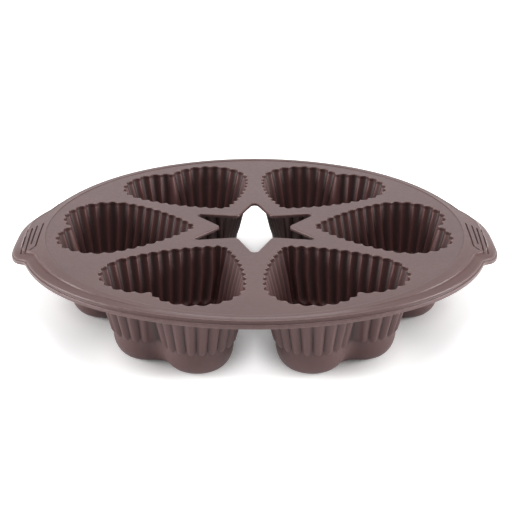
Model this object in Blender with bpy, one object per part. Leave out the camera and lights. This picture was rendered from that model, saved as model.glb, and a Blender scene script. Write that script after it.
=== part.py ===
"""Heart muffin mould in silicone: six fluted heart cups hang from a round web.

The mould stands on the flat floors of its cups. X runs through the two handles,
Y from front to back and Z up. Lengths are metres and angles are degrees.
"""

import math

import bmesh
import bpy
from mathutils import Matrix, Vector

# Walls, heights and the clearance at each seam
MOULD_DEPTH = 0.0446
WEB_THICKNESS = 0.0020
CUP_WALL = 0.0018
SEAM = 0.0003

# Heart outline at the top of a cup, along the channels of its flutes
CUP_COUNT = 6
LOBE_RADIUS = 0.0250
LOBE_SIDE = 0.0152
TIP_REACH = 0.0510
TIP_RADIUS = 0.0062
FLANK_RADIUS = 0.1050
CLEFT_RADIUS = 0.0025
OUTER_CLEFT_RADIUS = 0.0012
OPENING_BEVEL = 0.0008

# Bands of web left between the openings
CUP_RIB = 0.00837
EDGE_BAND = 0.00545
STAR_RIB = 0.0147
STAR_POINT = 0.0186
STAR_TIP_ROUNDING = 0.0016

# Fluted wall of a cup, which draws in by its draft, and the rounded bowl below it
LOBE_FLUTES = 9
FLANK_FLUTES = 9
FLUTE_DEPTH = 0.00176
FLUTE_FADE = 0.0010
DRAFT_ANGLE = 14.4
BOWL_TOP = 0.0130
BOWL_INSET = 0.0089
BOWL_OPENNESS = 0.6
CLEFT_GROWTH = 0.75
LEAST_TIP_RADIUS = 0.0030
FLOOR_CENTRE_INSET = 0.0057

# Rim, measured outwards from the web's edge, and how steeply it droops at the sides
RIM_SIDE_WIDTH = 0.0133
RIM_FRONT_WIDTH = 0.0066
SIDE_DROOP_ANGLE = 21.0
DROOP_FADE_POWER = 2.5

# Section of the rim, from its crest outwards and down
RIM_STEP = 0.0004
BORDER_WIDTH = 0.0046
BORDER_SHARE = 0.44
BORDER_SLOPE_ANGLE = 18.0
CORNER_RADIUS = 0.0007
SKIRT_HEIGHT = 0.0020
HANDLE_SKIRT_HEIGHT = 0.0011
SKIRT_FULL_ANGLE = 44.0
SKIRT_WALL = 0.0018
LIP_REACH = 0.0009
LIP_HEIGHT = 0.0021
LIP_ROUNDING = 0.0004

# Handles
HANDLE_PROJECTION = 0.0052
HANDLE_SPREAD = 0.0503
HANDLE_SQUARENESS = 3.9
HANDLE_ROOT_BLEND = 0.0020
HANDLE_SEAM_INSET = 0.0050

# Grip grooves in each handle
GROOVE_COUNT = 4
GROOVE_BAND = 0.0034
GROOVE_PITCH = 0.0028
GROOVE_WIDTH = 0.0008
GROOVE_DEPTH = 0.0010
GROOVE_LENGTH = 0.0340
GROOVE_CENTRE = -0.0092
GROOVE_SLANT_ANGLE = 2.3

# Fineness of the facets, and how far a cutter reaches past what it cuts
POINTS_PER_FLUTE = 3
BOWL_STEPS = 4
GROOVE_PIECES = 4
PLATE_SEGMENTS = 96
RIM_STEP_ANGLE = 3.0
HANDLE_STEP_ANGLE = 1.5
TIP_LEAN = 60.0
EDGE_PROBE = 0.05
SHARP_ANGLE = 32.0
CUT_MARGIN = 0.0010

# Places worked out from the sizes above, as distances from the mould's centre
HALF_PITCH = math.pi / CUP_COUNT
LOBE_CLEARANCE = LOBE_RADIUS + CUP_RIB / 2.0
LOBE_OUT = (LOBE_CLEARANCE + LOBE_SIDE * math.cos(HALF_PITCH)) / math.sin(HALF_PITCH)
TIP_OUT = LOBE_OUT - TIP_REACH
FLOOR_CENTRE_OUT = LOBE_OUT - FLOOR_CENTRE_INSET
WEB_RADIUS = math.hypot(LOBE_OUT, LOBE_SIDE) + LOBE_RADIUS + EDGE_BAND
STAR_WAIST_RADIUS = TIP_OUT - STAR_RIB
STAR_TIP_RADIUS = STAR_WAIST_RADIUS + STAR_POINT
RIM_HALF_WIDTH = WEB_RADIUS + RIM_SIDE_WIDTH
RIM_HALF_DEPTH = WEB_RADIUS + RIM_FRONT_WIDTH
HANDLE_REACH = RIM_HALF_WIDTH + HANDLE_PROJECTION
HANDLE_ARC = math.degrees(math.asin((HANDLE_SPREAD - HANDLE_SEAM_INSET) / RIM_HALF_WIDTH))
GROOVE_FIRST = WEB_RADIUS + GROOVE_BAND
SIDE_DROOP = math.tan(math.radians(SIDE_DROOP_ANGLE))
BORDER_SLOPE = math.tan(math.radians(BORDER_SLOPE_ANGLE))
GROOVE_SLANT = math.tan(math.radians(GROOVE_SLANT_ANGLE))
DRAFT = math.tan(math.radians(DRAFT_ANGLE))

# Finish of the moulding
SILICONE_COLOUR = (0.245, 0.178, 0.178, 1.0)
SILICONE_ROUGHNESS = 0.48
SILICONE_METALLIC = 0.0

CUP_NAMES = (
    "heart_cup_right",
    "heart_cup_back_right",
    "heart_cup_back_left",
    "heart_cup_left",
    "heart_cup_front_left",
    "heart_cup_front_right",
)


def clear_scene():
    """Remove whatever the scene holds before modelling."""
    for item in list(bpy.data.objects):
        bpy.data.objects.remove(item, do_unlink=True)


def silicone(name):
    """Make one region's own satin silicone material."""
    material = bpy.data.materials.new(name)
    material.use_nodes = True
    shader = material.node_tree.nodes["Principled BSDF"]
    shader.inputs["Base Color"].default_value = SILICONE_COLOUR
    shader.inputs["Roughness"].default_value = SILICONE_ROUGHNESS
    shader.inputs["Metallic"].default_value = SILICONE_METALLIC
    material.diffuse_color = SILICONE_COLOUR
    return material


def add_object(name, bm):
    """Turn a bmesh into a named object whose faces point outwards."""
    bmesh.ops.recalc_face_normals(bm, faces=bm.faces)
    mesh = bpy.data.meshes.new(name)
    bm.to_mesh(mesh)
    bm.free()
    item = bpy.data.objects.new(name, mesh)
    bpy.context.collection.objects.link(item)
    return item


def finish_region(item):
    """Give a region its material and smooth shading between sharp edges."""
    item.data.materials.append(silicone(item.name))
    item.data.shade_smooth()
    item.data.set_sharp_from_angle(angle=math.radians(SHARP_ANGLE))


def cut(item, cutter):
    """Subtract a hidden cutter from an object."""
    cutter.hide_render = True
    cutter.display_type = "WIRE"
    modifier = item.modifiers.new("cut " + cutter.name, "BOOLEAN")
    modifier.operation = "DIFFERENCE"
    modifier.solver = "EXACT"
    modifier.object = cutter


def add_ring(bm, points):
    """Add a ring of vertices."""
    return [bm.verts.new(point) for point in points]


def join_rings(bm, upper, lower):
    """Bridge two rings that have as many points."""
    count = len(upper)
    for index in range(count):
        after = (index + 1) % count
        bm.faces.new((upper[index], upper[after], lower[after], lower[index]))


def close_ring(bm, ring, centre):
    """Close a ring with a fan around a centre point."""
    middle = bm.verts.new(centre)
    count = len(ring)
    for index in range(count):
        bm.faces.new((ring[index], ring[(index + 1) % count], middle))


def end_flutes(bm, fluted, smooth):
    """Bridge a fluted ring to a smooth one that has one point per flute."""
    flutes = len(smooth)
    fine = len(fluted)
    for flute in range(flutes):
        following = smooth[(flute + 1) % flutes]
        first = flute * POINTS_PER_FLUTE
        for step in range(POINTS_PER_FLUTE):
            left = fluted[first + step]
            right = fluted[(first + step + 1) % fine]
            bm.faces.new((left, right, smooth[flute]))
        ridge = fluted[(first + POINTS_PER_FLUTE) % fine]
        bm.faces.new((smooth[flute], ridge, following))


def turn(x, y, angle):
    """Turn a point of the plan about the mould's centre."""
    cosine = math.cos(angle)
    sine = math.sin(angle)
    return x * cosine - y * sine, x * sine + y * cosine


def meeting_centre(first, first_reach, second, second_reach):
    """Centre at given distances from two points, on the right of first to second."""
    along = second - first
    span = along.length
    forward = (first_reach ** 2 - second_reach ** 2 + span ** 2) / (2.0 * span)
    aside = math.sqrt(first_reach ** 2 - forward ** 2)
    along.normalize()
    return first + along * forward + Vector((-along.y, along.x)) * aside


def direction(start, end):
    """Angle of the line from one point of the plan to another, 0 to 360 degrees."""
    return math.atan2(end.y - start.y, end.x - start.x) % (2.0 * math.pi)


class HeartHalf:
    """Half a heart from its cleft to its tip, as four arcs that flow together."""

    def __init__(self, offset, cleft_radius):
        lobe = Vector((LOBE_OUT, LOBE_SIDE))
        top_tip = Vector((TIP_OUT + TIP_RADIUS, 0.0))
        reach = LOBE_RADIUS + offset + cleft_radius
        cleft = Vector((LOBE_OUT + math.sqrt(reach ** 2 - LOBE_SIDE ** 2), 0.0))
        flank = meeting_centre(
            lobe, FLANK_RADIUS - LOBE_RADIUS, top_tip, FLANK_RADIUS - TIP_RADIUS
        )
        tip_radius = max(TIP_RADIUS + offset, LEAST_TIP_RADIUS)
        tip_reach = FLANK_RADIUS + offset - tip_radius
        tip = Vector((flank.x - math.sqrt(tip_reach ** 2 - flank.y ** 2), 0.0))
        lobe_start = direction(lobe, cleft) - 2.0 * math.pi
        lobe_end = direction(flank, lobe)
        flank_end = direction(flank, tip)
        cleft_end = direction(cleft, lobe)
        lobe_side = [
            (cleft, cleft_radius, CLEFT_RADIUS, math.pi, cleft_end, -1.0),
            (lobe, LOBE_RADIUS + offset, LOBE_RADIUS, lobe_start, lobe_end, 1.0),
        ]
        flank_side = [
            (flank, FLANK_RADIUS + offset, FLANK_RADIUS, lobe_end, flank_end, 1.0),
            (tip, tip_radius, TIP_RADIUS, flank_end, math.pi, 1.0),
        ]
        self.sides = ((LOBE_FLUTES, lobe_side), (FLANK_FLUTES, flank_side))

    def at(self, flute):
        """Point and outward normal at a flute count from the cleft."""
        for flutes, arcs in self.sides:
            if flute <= flutes:
                return along_arcs(arcs, flute / flutes)
            flute -= flutes
        raise ValueError("the flute lies past the tip")


def along_arcs(arcs, share):
    """Point and outward normal at a share of the way along a chain of arcs.

    The way is measured on the top radius of each arc, so that a flute keeps its
    place while its cup draws in.
    """
    lengths = []
    for centre, radius, top_radius, start, end, side in arcs:
        lengths.append(top_radius * abs(end - start))
    left = share * sum(lengths)
    for length, arc in zip(lengths, arcs):
        if left <= length or arc is arcs[-1]:
            break
        left -= length
    centre, radius, top_radius, start, end, side = arc
    angle = start + (end - start) * min(left / length, 1.0)
    ray = Vector((math.cos(angle), math.sin(angle)))
    return centre + ray * radius, ray * side


def fluted_ring(half, openness, points_per_flute, phase):
    """Heart ring whose flutes are sunk by openness."""
    flutes = LOBE_FLUTES + FLANK_FLUTES
    stations = [
        (index + phase) / points_per_flute
        for index in range(flutes * points_per_flute)
    ]
    if phase == 0.0:
        stations.append(float(flutes))
    side = []
    for station in stations:
        point, normal = half.at(station)
        hollow = abs(math.sin(math.pi * station)) * openness
        point = point - normal * FLUTE_DEPTH * (1.0 - hollow)
        side.append((point.x, point.y))
    mirrored = [(x, -y) for x, y in reversed(side)]
    if phase == 0.0:
        mirrored = mirrored[1:-1]
    return side + mirrored


def heart_ring(half, openness, height, angle, coarse=False):
    """Place a heart ring of one cup at its height and angle around the mould."""
    if coarse:
        ring = fluted_ring(half, openness, 1, 0.5)
    else:
        ring = fluted_ring(half, openness, POINTS_PER_FLUTE, 0.0)
    points = []
    for x, y in ring:
        turned_x, turned_y = turn(x, y, angle)
        points.append((turned_x, turned_y, height))
    return points


def cup_skin(bm, offset, cleft_radius, top, floor, angle):
    """One skin of a cup: drafted fluted wall, then a smooth bowl down to its floor."""
    fluted_low = BOWL_TOP + FLUTE_FADE
    edge_inset = (top - BOWL_TOP) * DRAFT

    def ring(inset, height, openness=1.0, coarse=False):
        half = HeartHalf(offset - inset, cleft_radius + inset * CLEFT_GROWTH)
        return add_ring(bm, heart_ring(half, openness, height, angle, coarse))

    rim = ring(0.0, top)
    low = ring((top - fluted_low) * DRAFT, fluted_low)
    above = ring(edge_inset, BOWL_TOP, BOWL_OPENNESS, True)
    join_rings(bm, rim, low)
    end_flutes(bm, low, above)
    for step in range(1, BOWL_STEPS + 1):
        turned = math.radians(90.0) * step / BOWL_STEPS
        inset = edge_inset + BOWL_INSET * (1.0 - math.cos(turned))
        height = floor + (BOWL_TOP - floor) * (1.0 - math.sin(turned))
        below = ring(inset, height, BOWL_OPENNESS, True)
        join_rings(bm, above, below)
        above = below
    centre_x, centre_y = turn(FLOOR_CENTRE_OUT, 0.0, angle)
    close_ring(bm, above, (centre_x, centre_y, floor))
    return rim


def build_cup(name, angle):
    """Thin-walled fluted cup that hangs just under the web."""
    top = MOULD_DEPTH - WEB_THICKNESS - SEAM
    bm = bmesh.new()
    inner = cup_skin(bm, 0.0, CLEFT_RADIUS, top, CUP_WALL, angle)
    outer = cup_skin(bm, CUP_WALL, OUTER_CLEFT_RADIUS, top, 0.0, angle)
    join_rings(bm, inner, outer)
    finish_region(add_object(name, bm))


def opening_cutter(number, angle):
    """Fluted heart prism that flares into the bevel of a web opening."""
    edge = HeartHalf(0.0, CLEFT_RADIUS)
    flare = OPENING_BEVEL + CUT_MARGIN
    flared_cleft = max(CLEFT_RADIUS - flare, OUTER_CLEFT_RADIUS)
    flared_edge = HeartHalf(flare, flared_cleft)
    bm = bmesh.new()
    above = add_ring(bm, heart_ring(flared_edge, 1.0, MOULD_DEPTH + CUT_MARGIN, angle))
    bevel_foot = MOULD_DEPTH - OPENING_BEVEL
    foot = add_ring(bm, heart_ring(edge, 1.0, bevel_foot, angle))
    underside = MOULD_DEPTH - WEB_THICKNESS - CUT_MARGIN
    below = add_ring(bm, heart_ring(edge, 1.0, underside, angle))
    join_rings(bm, above, foot)
    join_rings(bm, foot, below)
    bm.faces.new(above)
    bm.faces.new(below)
    return add_object("opening %d" % number, bm)


def star_cutter():
    """Six-pointed star prism with rounded tips."""
    bm = bmesh.new()
    outline = []
    for point in range(CUP_COUNT):
        middle = math.radians((point + 0.5) * 360.0 / CUP_COUNT)
        waist = math.radians(point * 360.0 / CUP_COUNT)
        outline.append(turn(STAR_WAIST_RADIUS, 0.0, waist))
        for side in (-1.0, 0.0, 1.0):
            lean = math.radians(TIP_LEAN) * side
            out = STAR_TIP_RADIUS + STAR_TIP_ROUNDING * (math.cos(lean) - 1.0)
            across = STAR_TIP_ROUNDING * math.sin(lean)
            outline.append(turn(out, across, middle))
    top = MOULD_DEPTH + CUT_MARGIN
    bottom = MOULD_DEPTH - WEB_THICKNESS - CUT_MARGIN
    above = add_ring(bm, [(x, y, top) for x, y in outline])
    below = add_ring(bm, [(x, y, bottom) for x, y in outline])
    join_rings(bm, above, below)
    bm.faces.new(above)
    bm.faces.new(below)
    return add_object("star", bm)


def build_web():
    """Flat round web with six heart openings around a star hole."""
    bm = bmesh.new()
    centre = Vector((0.0, 0.0, MOULD_DEPTH - WEB_THICKNESS / 2.0))
    bmesh.ops.create_cone(
        bm,
        cap_ends=True,
        segments=PLATE_SEGMENTS,
        radius1=WEB_RADIUS,
        radius2=WEB_RADIUS,
        depth=WEB_THICKNESS,
        matrix=Matrix.Translation(centre),
    )
    web = add_object("top_web", bm)
    cut(web, star_cutter())
    for number in range(CUP_COUNT):
        angle = math.radians(number * 360.0 / CUP_COUNT)
        cut(web, opening_cutter(number + 1, angle))
    finish_region(web)


def plan_radius(angle):
    """Outer radius of the mould at an angle: rim ellipse blended with the handles."""
    cosine = abs(math.cos(angle))
    sine = abs(math.sin(angle))
    rim = math.hypot(cosine / RIM_HALF_WIDTH, sine / RIM_HALF_DEPTH) ** -1.0
    power = HANDLE_SQUARENESS
    tab = (cosine / HANDLE_REACH) ** power + (sine / HANDLE_SPREAD) ** power
    tab = tab ** (-1.0 / power)
    nearness = max(HANDLE_ROOT_BLEND - abs(rim - tab), 0.0) / HANDLE_ROOT_BLEND
    return max(rim, tab) + nearness ** 2 * HANDLE_ROOT_BLEND / 4.0


def plan_point(angle, inset):
    """Point of the plan at an inset from the outer edge, along the edge's normal."""
    small = math.radians(EDGE_PROBE)
    before = Vector(turn(plan_radius(angle - small), 0.0, angle - small))
    after = Vector(turn(plan_radius(angle + small), 0.0, angle + small))
    along = (after - before).normalized()
    edge = Vector(turn(plan_radius(angle), 0.0, angle))
    return edge - Vector((along.y, -along.x)) * inset


def surface_height(x, y):
    """Height of the upper face, which droops towards the handles past the web."""
    radius = math.hypot(x, y)
    past = max(radius - WEB_RADIUS, 0.0)
    sideways = (abs(x) / radius) ** DROOP_FADE_POWER
    return MOULD_DEPTH + RIM_STEP - SIDE_DROOP * past * sideways


def skirt_height(angle):
    """Height from the border's edge to the lip, shallower along the handles."""
    turned = math.degrees(math.asin(min(abs(math.sin(angle)), 1.0)))
    share = (turned - HANDLE_ARC) / (SKIRT_FULL_ANGLE - HANDLE_ARC)
    share = min(max(share, 0.0), 1.0)
    return HANDLE_SKIRT_HEIGHT + (SKIRT_HEIGHT - HANDLE_SKIRT_HEIGHT) * share


def rim_section(angle):
    """Closed section of the rim at one angle, from its inner top edge outwards."""
    inner = Vector(turn(WEB_RADIUS + SEAM, 0.0, angle))
    inner_height = surface_height(inner.x, inner.y)
    corner = LIP_REACH + CORNER_RADIUS
    band = plan_radius(angle) - WEB_RADIUS - SEAM - corner
    border = min(BORDER_WIDTH, BORDER_SHARE * band)
    wall = plan_point(angle, LIP_REACH)
    edge_height = surface_height(wall.x, wall.y) - border * BORDER_SLOPE
    lip_top = edge_height - skirt_height(angle)
    lip_bottom = lip_top - LIP_HEIGHT
    rounding = CORNER_RADIUS * math.sin(math.pi / 4.0)
    halfway = CORNER_RADIUS - rounding

    def placed(inset, height):
        point = plan_point(angle, inset)
        return (point.x, point.y, height)

    crest = plan_point(angle, corner + border)
    crest_height = surface_height(crest.x, crest.y)
    shoulder_height = edge_height + (SKIRT_WALL - CORNER_RADIUS) * BORDER_SLOPE - WEB_THICKNESS
    return [
        (inner.x, inner.y, inner_height),
        (crest.x, crest.y, crest_height),
        placed(corner, edge_height),
        placed(LIP_REACH + halfway, edge_height - halfway),
        placed(LIP_REACH, edge_height - CORNER_RADIUS),
        placed(LIP_REACH, lip_top),
        placed(LIP_ROUNDING, lip_top),
        placed(0.0, lip_top - LIP_ROUNDING),
        placed(0.0, lip_bottom + LIP_ROUNDING),
        placed(LIP_ROUNDING, lip_bottom),
        placed(LIP_REACH + SKIRT_WALL, lip_bottom),
        placed(LIP_REACH + SKIRT_WALL, shoulder_height),
        (crest.x, crest.y, crest_height - WEB_THICKNESS),
        (inner.x, inner.y, inner_height - WEB_THICKNESS),
    ]


def sweep_edge(name, start, end, step):
    """Sweep the rim section between two angles, given in degrees."""
    count = math.ceil((end - start) / step)
    bm = bmesh.new()
    sections = []
    for index in range(count + 1):
        angle = math.radians(start + (end - start) * index / count)
        sections.append(add_ring(bm, rim_section(angle)))
    for section, following in zip(sections, sections[1:]):
        join_rings(bm, section, following)
    bm.faces.new(sections[0])
    bm.faces.new(sections[-1])
    bmesh.ops.triangulate(bm, faces=bm.faces)
    return add_object(name, bm)


def groove_cutter(side):
    """Narrow bars that cut the grip grooves of one handle."""
    bm = bmesh.new()
    half_width = GROOVE_WIDTH / 2.0
    for groove in range(GROOVE_COUNT):
        middle = GROOVE_FIRST + groove * GROOVE_PITCH
        rows = []
        for piece in range(GROOVE_PIECES + 1):
            along = GROOVE_LENGTH * (piece / GROOVE_PIECES - 0.5)
            y = GROOVE_CENTRE + along
            row = []
            for across, lift in (
                (-half_width, CUT_MARGIN),
                (half_width, CUT_MARGIN),
                (half_width, -GROOVE_DEPTH),
                (-half_width, -GROOVE_DEPTH),
            ):
                x = middle + along * GROOVE_SLANT + across
                row.append((side * x, y, surface_height(x, y) + lift))
            rows.append(add_ring(bm, row))
        for row, following in zip(rows, rows[1:]):
            join_rings(bm, row, following)
        bm.faces.new(rows[0])
        bm.faces.new(rows[-1])
    bmesh.ops.triangulate(bm, faces=bm.faces)
    name = "grooves right" if side > 0.0 else "grooves left"
    return add_object(name, bm)


def build_rim():
    """Front and back arcs of the rim, between the handles."""
    seam_angle = math.degrees(SEAM / RIM_HALF_WIDTH)
    start = HANDLE_ARC + seam_angle
    finish_region(sweep_edge("rim_back", start, 180.0 - start, RIM_STEP_ANGLE))
    finish_region(sweep_edge("rim_front", 180.0 + start, 360.0 - start, RIM_STEP_ANGLE))


def build_handles():
    """Grip tabs on the left and right, each with its grooves."""
    for name, middle, side in (
        ("handle_right", 0.0, 1.0),
        ("handle_left", 180.0, -1.0),
    ):
        start = middle - HANDLE_ARC
        handle = sweep_edge(name, start, middle + HANDLE_ARC, HANDLE_STEP_ANGLE)
        cut(handle, groove_cutter(side))
        finish_region(handle)


def main():
    clear_scene()
    build_web()
    build_rim()
    build_handles()
    for number, name in enumerate(CUP_NAMES):
        build_cup(name, math.radians(number * 360.0 / CUP_COUNT))


main()
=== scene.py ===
"""Heart muffin mould in satin silicone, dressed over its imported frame.

Lengths are metres. X runs through the two handles, Y from front to back and Z up.
The mould stands on the floors of its six cups.
"""

import math

import bmesh
import bpy
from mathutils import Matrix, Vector
from mathutils.geometry import delaunay_2d_cdt


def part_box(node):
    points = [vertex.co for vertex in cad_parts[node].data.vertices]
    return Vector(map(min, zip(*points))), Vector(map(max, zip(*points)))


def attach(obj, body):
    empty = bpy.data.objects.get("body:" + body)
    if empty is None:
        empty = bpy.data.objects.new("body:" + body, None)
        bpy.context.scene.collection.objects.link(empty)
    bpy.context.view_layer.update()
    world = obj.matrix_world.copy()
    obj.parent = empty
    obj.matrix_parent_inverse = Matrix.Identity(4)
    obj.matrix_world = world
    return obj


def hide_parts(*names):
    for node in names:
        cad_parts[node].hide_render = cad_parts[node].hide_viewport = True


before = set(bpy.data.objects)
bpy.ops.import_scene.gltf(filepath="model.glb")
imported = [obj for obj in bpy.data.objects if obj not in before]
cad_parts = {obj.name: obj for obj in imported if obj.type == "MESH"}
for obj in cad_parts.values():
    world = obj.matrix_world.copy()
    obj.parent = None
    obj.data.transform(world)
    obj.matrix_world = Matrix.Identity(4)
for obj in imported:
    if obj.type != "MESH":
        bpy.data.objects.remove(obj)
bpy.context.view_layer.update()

bl_info = {
    "name": "Heart Muffin Mould",
    "version": (1, 0, 0),
    "blender": (4, 5, 0),
    "location": "3D View > Sidebar > Mould",
    "description": "Builds a six-heart silicone muffin mould over its packed frame",
    "category": "Object",
}

WEB_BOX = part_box("top_web")

CUP_PLACES = ("right", "back_right", "back_left", "left", "front_left", "front_right")
CUP_NODES = ["heart_cup_" + place for place in CUP_PLACES]
HALF_PITCH = math.pi / len(CUP_NODES)

# How finely the pieces are divided.
CIRCLE_POINTS = 360
WALL_STEPS = 6
FLUTE_END_STEPS = 14
BOWL_STEPS = 10
OPENING_STEPS = 7
EDGE_STEPS = 6
INNER_STEPS = 5
ARC_STEPS = 4
STAR_TIP_STEPS = 8
STAR_WAIST_STEPS = 5
RIM_ROWS = 6
RIM_DEGREES = 0.5
HANDLE_ROWS = 90
HANDLE_DEGREES = 0.2

# Small roundings and margins.
HOLE_MARGIN = 0.0004
LOWER_ROUNDING = 0.0004
WEB_MARGIN = 0.0009
CREASE_WIDTH = 0.0005
INNER_ROUNDING = 0.0009
FOOT_BEVEL = 0.0003
SHOULDER_BEVEL = 0.0005
LIP_FILLET = ((0.0, 0.0003), (0.00005, 0.0001), (0.00018, 0.0))

# Scale of the ring on a cup's floor, small angle for normals, least angle of a sharp
# edge and a height above the ends of all flutes.
FLOOR_RING = 0.5
EDGE_PROBE = math.radians(0.05)
SHARP_ANGLE = math.radians(55.0)
ABOVE_FLUTE_ENDS = 1.0

# Lighter edges, partly from rubbing and partly a painted highlight, how narrow the painted highlight
# on ridges is, and how narrow and dark the painted shade in creases is.
EDGE_WEAR_AND_HIGHLIGHT = 0.9
CREASE_WEAR_AND_HIGHLIGHT = 0.2
LOWER_WEAR_AND_HIGHLIGHT = 0.3
LIP_WEAR_AND_HIGHLIGHT = 0.7
FOOT_WEAR_AND_HIGHLIGHT = 0.5
CORNER_HIGHLIGHT_STEPS = 3.5
RIDGE_HIGHLIGHT_NARROWNESS = 8.0
OUTER_SHADE_NARROWNESS = 4.0
INNER_SHADE_NARROWNESS = 1.5
INNER_SHADE_DARKNESS = 0.9

# Optics and soft unevenness of the silicone, and spans of its noises.
NOISE_MIDDLE = (0.35, 0.65)
NOISE_RANGE = (0.3, 0.7)
REFRACTION = 1.41
SHINE = 0.55
SWELL = 0.0006

# The bead grows over this span, from where a direction is this much sideways.
BEAD_START = 0.35
BEAD_SPAN = 0.4
# Rows of the border: share of its width, rise in beads and lightening, which is a painted highlight
# with some rubbing and fades towards front and back.
BORDER_PROFILE = (
    (0.0, 0.8, 0.9), (0.06, 0.7, 1.0), (0.12, -0.4, 0.3), (0.18, -0.9, 0.0),
    (0.25, -1.0, 0.0), (0.34, -0.8, 0.0), (0.45, -0.5, 0.0), (0.56, -0.2, 0.0),
    (0.67, 0.0, 0.0), (0.78, 0.0, 0.0), (0.89, 0.0, 0.2), (1.0, 0.0, 0.5),
)
BORDER_HOLLOW = 1.8

# Inputs of the modifier trees, each with its setting.
FLUTE_INPUTS = {
    "Flute Depth": "depth",
    "Ridge Rounding": "rounding",
    "End Level": "end_level",
    "End Length": "end_length",
    "Bowl Openness": "bowl_openness",
}
GROOVE_INPUTS = {"Groove Width": "groove_width", "Groove Depth": "groove_depth"}

# Guide lines of the left handle's grip grooves, seen from above.
GROOVES = (
    ((-0.1275, -0.0265), (-0.1292, 0.0078)),
    ((-0.1246, -0.0287), (-0.1264, 0.0056)),
    ((-0.1228, -0.0200), (-0.1237, 0.0066)),
    ((-0.1220, -0.0279), (-0.1194, -0.0254), (-0.1202, 0.0073)),
)

# Painted shadow on the glowing floor, which shows almost no shadow of its own, and a brighter painted
# strip along its middle and back: places and spans.
CUP_SHADE_PLACE = 0.075
CUP_SHADE = (0.018, 0.044)
CUP_SHADE_LEAST = 0.1
WEB_SHADE_X = (0.070, 0.126)
WEB_SHADE_Y = (0.02, 0.09)
WEB_SHADE_MOST = 0.98
STRIP_X = (0.03, 0.10)
STRIP_Y = (0.10, 0.15)

# Softboxes: name, setting of the power, place, width, depth and whether for reflections only.
SOFTBOXES = (
    ("overhead softbox", "overhead", (0.0, 0.10, 1.35), 1.3, 0.7, False),
    ("left softbox", "side", (-1.20, -0.05, 0.30), 0.7, 0.4, False),
    ("right softbox", "side", (1.20, -0.05, 0.30), 0.7, 0.4, False),
    ("back softbox", "back", (0.0, 1.6, 0.9), 2.6, 1.4, True),
    ("upper softbox", "upper", (0.0, 0.40, 1.7), 3.6, 1.4, True),
)
SOFTBOX_TARGET = (0.0, 0.0, 0.03)
REFLECTION_TINT = (1.0, 0.985, 0.98)
CAMERA_AIM = (0.00022, 0.0, -0.0177)
SENSOR_WIDTH = 36.0
WHITE = (1.0, 1.0, 1.0, 1.0)


def share(name, text, default, **kind):
    """A number that a user may change."""
    return bpy.props.FloatProperty(name=name, description=text, default=default, **kind)


def length(name, text, metres):
    """A size that a user may change."""
    return share(name, text, metres, unit="LENGTH", precision=5)


def angle(name, text, degrees):
    """An angle that a user may change."""
    return share(name, text, math.radians(degrees), unit="ROTATION")


def count(name, text, default):
    """A whole number that a user may change."""
    return bpy.props.IntProperty(name=name, description=text, default=default, min=1)


def colour(name, text, default):
    """A colour that a user may change."""
    return bpy.props.FloatVectorProperty(
        name=name, description=text, default=default, subtype="COLOR", size=3
    )


class MouldSizes(bpy.types.PropertyGroup):
    """Heights and walls of the moulding and the outline of its hearts"""

    web_top: length("Web height", "Height of the web's upper face", WEB_BOX[1].z)
    web_thickness: length("Web thickness", "Thickness of the flat web", WEB_BOX[1].z - WEB_BOX[0].z)
    web_radius: length("Web radius", "Radius of the flat web", WEB_BOX[1].x)
    cup_wall: length("Cup wall", "Thickness of a cup's wall and floor", 0.0018)
    lobe_radius: length("Lobe radius", "Radius of a heart's lobes", 0.0250)
    lobe_side: length("Lobe side", "From the axis to a lobe's centre", 0.0152)
    tip_reach: length("Tip reach", "From the lobes to the tip", 0.0510)
    tip_radius: length("Tip radius", "Rounding of a heart's tip", 0.0062)
    flank_radius: length("Flank radius", "Radius of a heart's long flanks", 0.1050)
    cleft_radius: length("Cleft radius", "Rounding of the cleft inside", 0.0025)
    outer_cleft_radius: length("Outer cleft", "Rounding of the cleft outside", 0.0012)
    cup_rib: length("Rib", "Web between two hearts", 0.00837)
    least_tip_radius: length("Least tip", "Smallest rounding of a heart's tip", 0.0030)
    axis_inset: length("Axis inset", "From the lobes to the floor's middle", 0.0057)
    opening_rounding: length("Opening rounding", "Rounding of a heart's edge", 0.0005)
    star_rib: length("Star rib", "Web between a heart and the star", 0.0147)
    star_point: length("Star point", "Length of the star's points", 0.0186)
    star_tip: length("Star tip", "Rounding of the star's points", 0.0022)
    star_waist: length("Star waist", "Rounding between the points", 0.0036)
    star_edge: length("Star edge", "Rounding of the star's edge", 0.0008)


class FluteSizes(bpy.types.PropertyGroup):
    """Flutes, draft and bowl of a cup"""

    lobe_flutes: count("Lobe flutes", "Flutes from the cleft to the flank", 9)
    flank_flutes: count("Flank flutes", "Flutes from the lobe to the tip", 9)
    points: count("Points", "Points along one flute", 12)
    depth: length("Depth", "Depth of a flute", 0.00176)
    rounding: share("Ridge rounding", "Softness of the ridges", 0.14)
    end_level: length("End level", "Height where the flutes start to end", 0.0166)
    end_length: length("End length", "Length of a flute's rounded end", 0.0046)
    draft: angle("Draft", "Lean of the cup's wall", 14.4)
    bowl_top: length("Bowl top", "Height of the bowl's upper edge", 0.0130)
    bowl_inset: length("Bowl inset", "Reach of the bowl inwards", 0.0089)
    bowl_openness: share("Bowl openness", "Bowl between hollow and ridge", 0.6)
    cleft_growth: share("Cleft growth", "Cleft's rounding per inset", 0.75)
    root_rounding: length("Root rounding", "Fillet between a cup and the web", 0.0012)


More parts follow.
